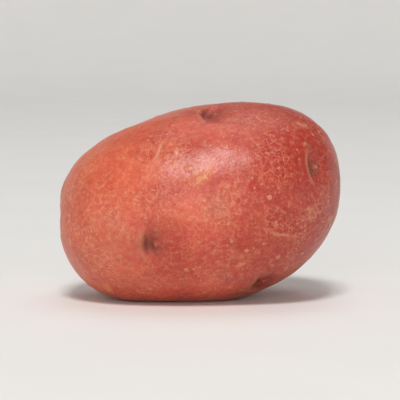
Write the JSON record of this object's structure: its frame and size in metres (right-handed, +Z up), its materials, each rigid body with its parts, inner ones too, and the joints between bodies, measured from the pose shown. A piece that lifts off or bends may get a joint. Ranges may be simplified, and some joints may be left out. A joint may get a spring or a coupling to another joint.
{
  "type": "potato",
  "caption": "Whole oval red-skinned potato with shallow eyes, lying on a small flat spot, rose end raised a little.",
  "frame": {"origin": "level with the flat spot the tuber rests on, under the middle of its bounding box", "axes": "+X from the heel end to the rose end, the longest way; +Y to the back; +Z up, the shortest way"},
  "size_m": [0.0832, 0.0654, 0.0582],
  "materials": {
    "potato_skin": "satin-matte red skin with tan netting and pale lenticels"
  },
  "bodies": {
    "root": {"potato": "potato_skin"}
  },
  "joints": []
}
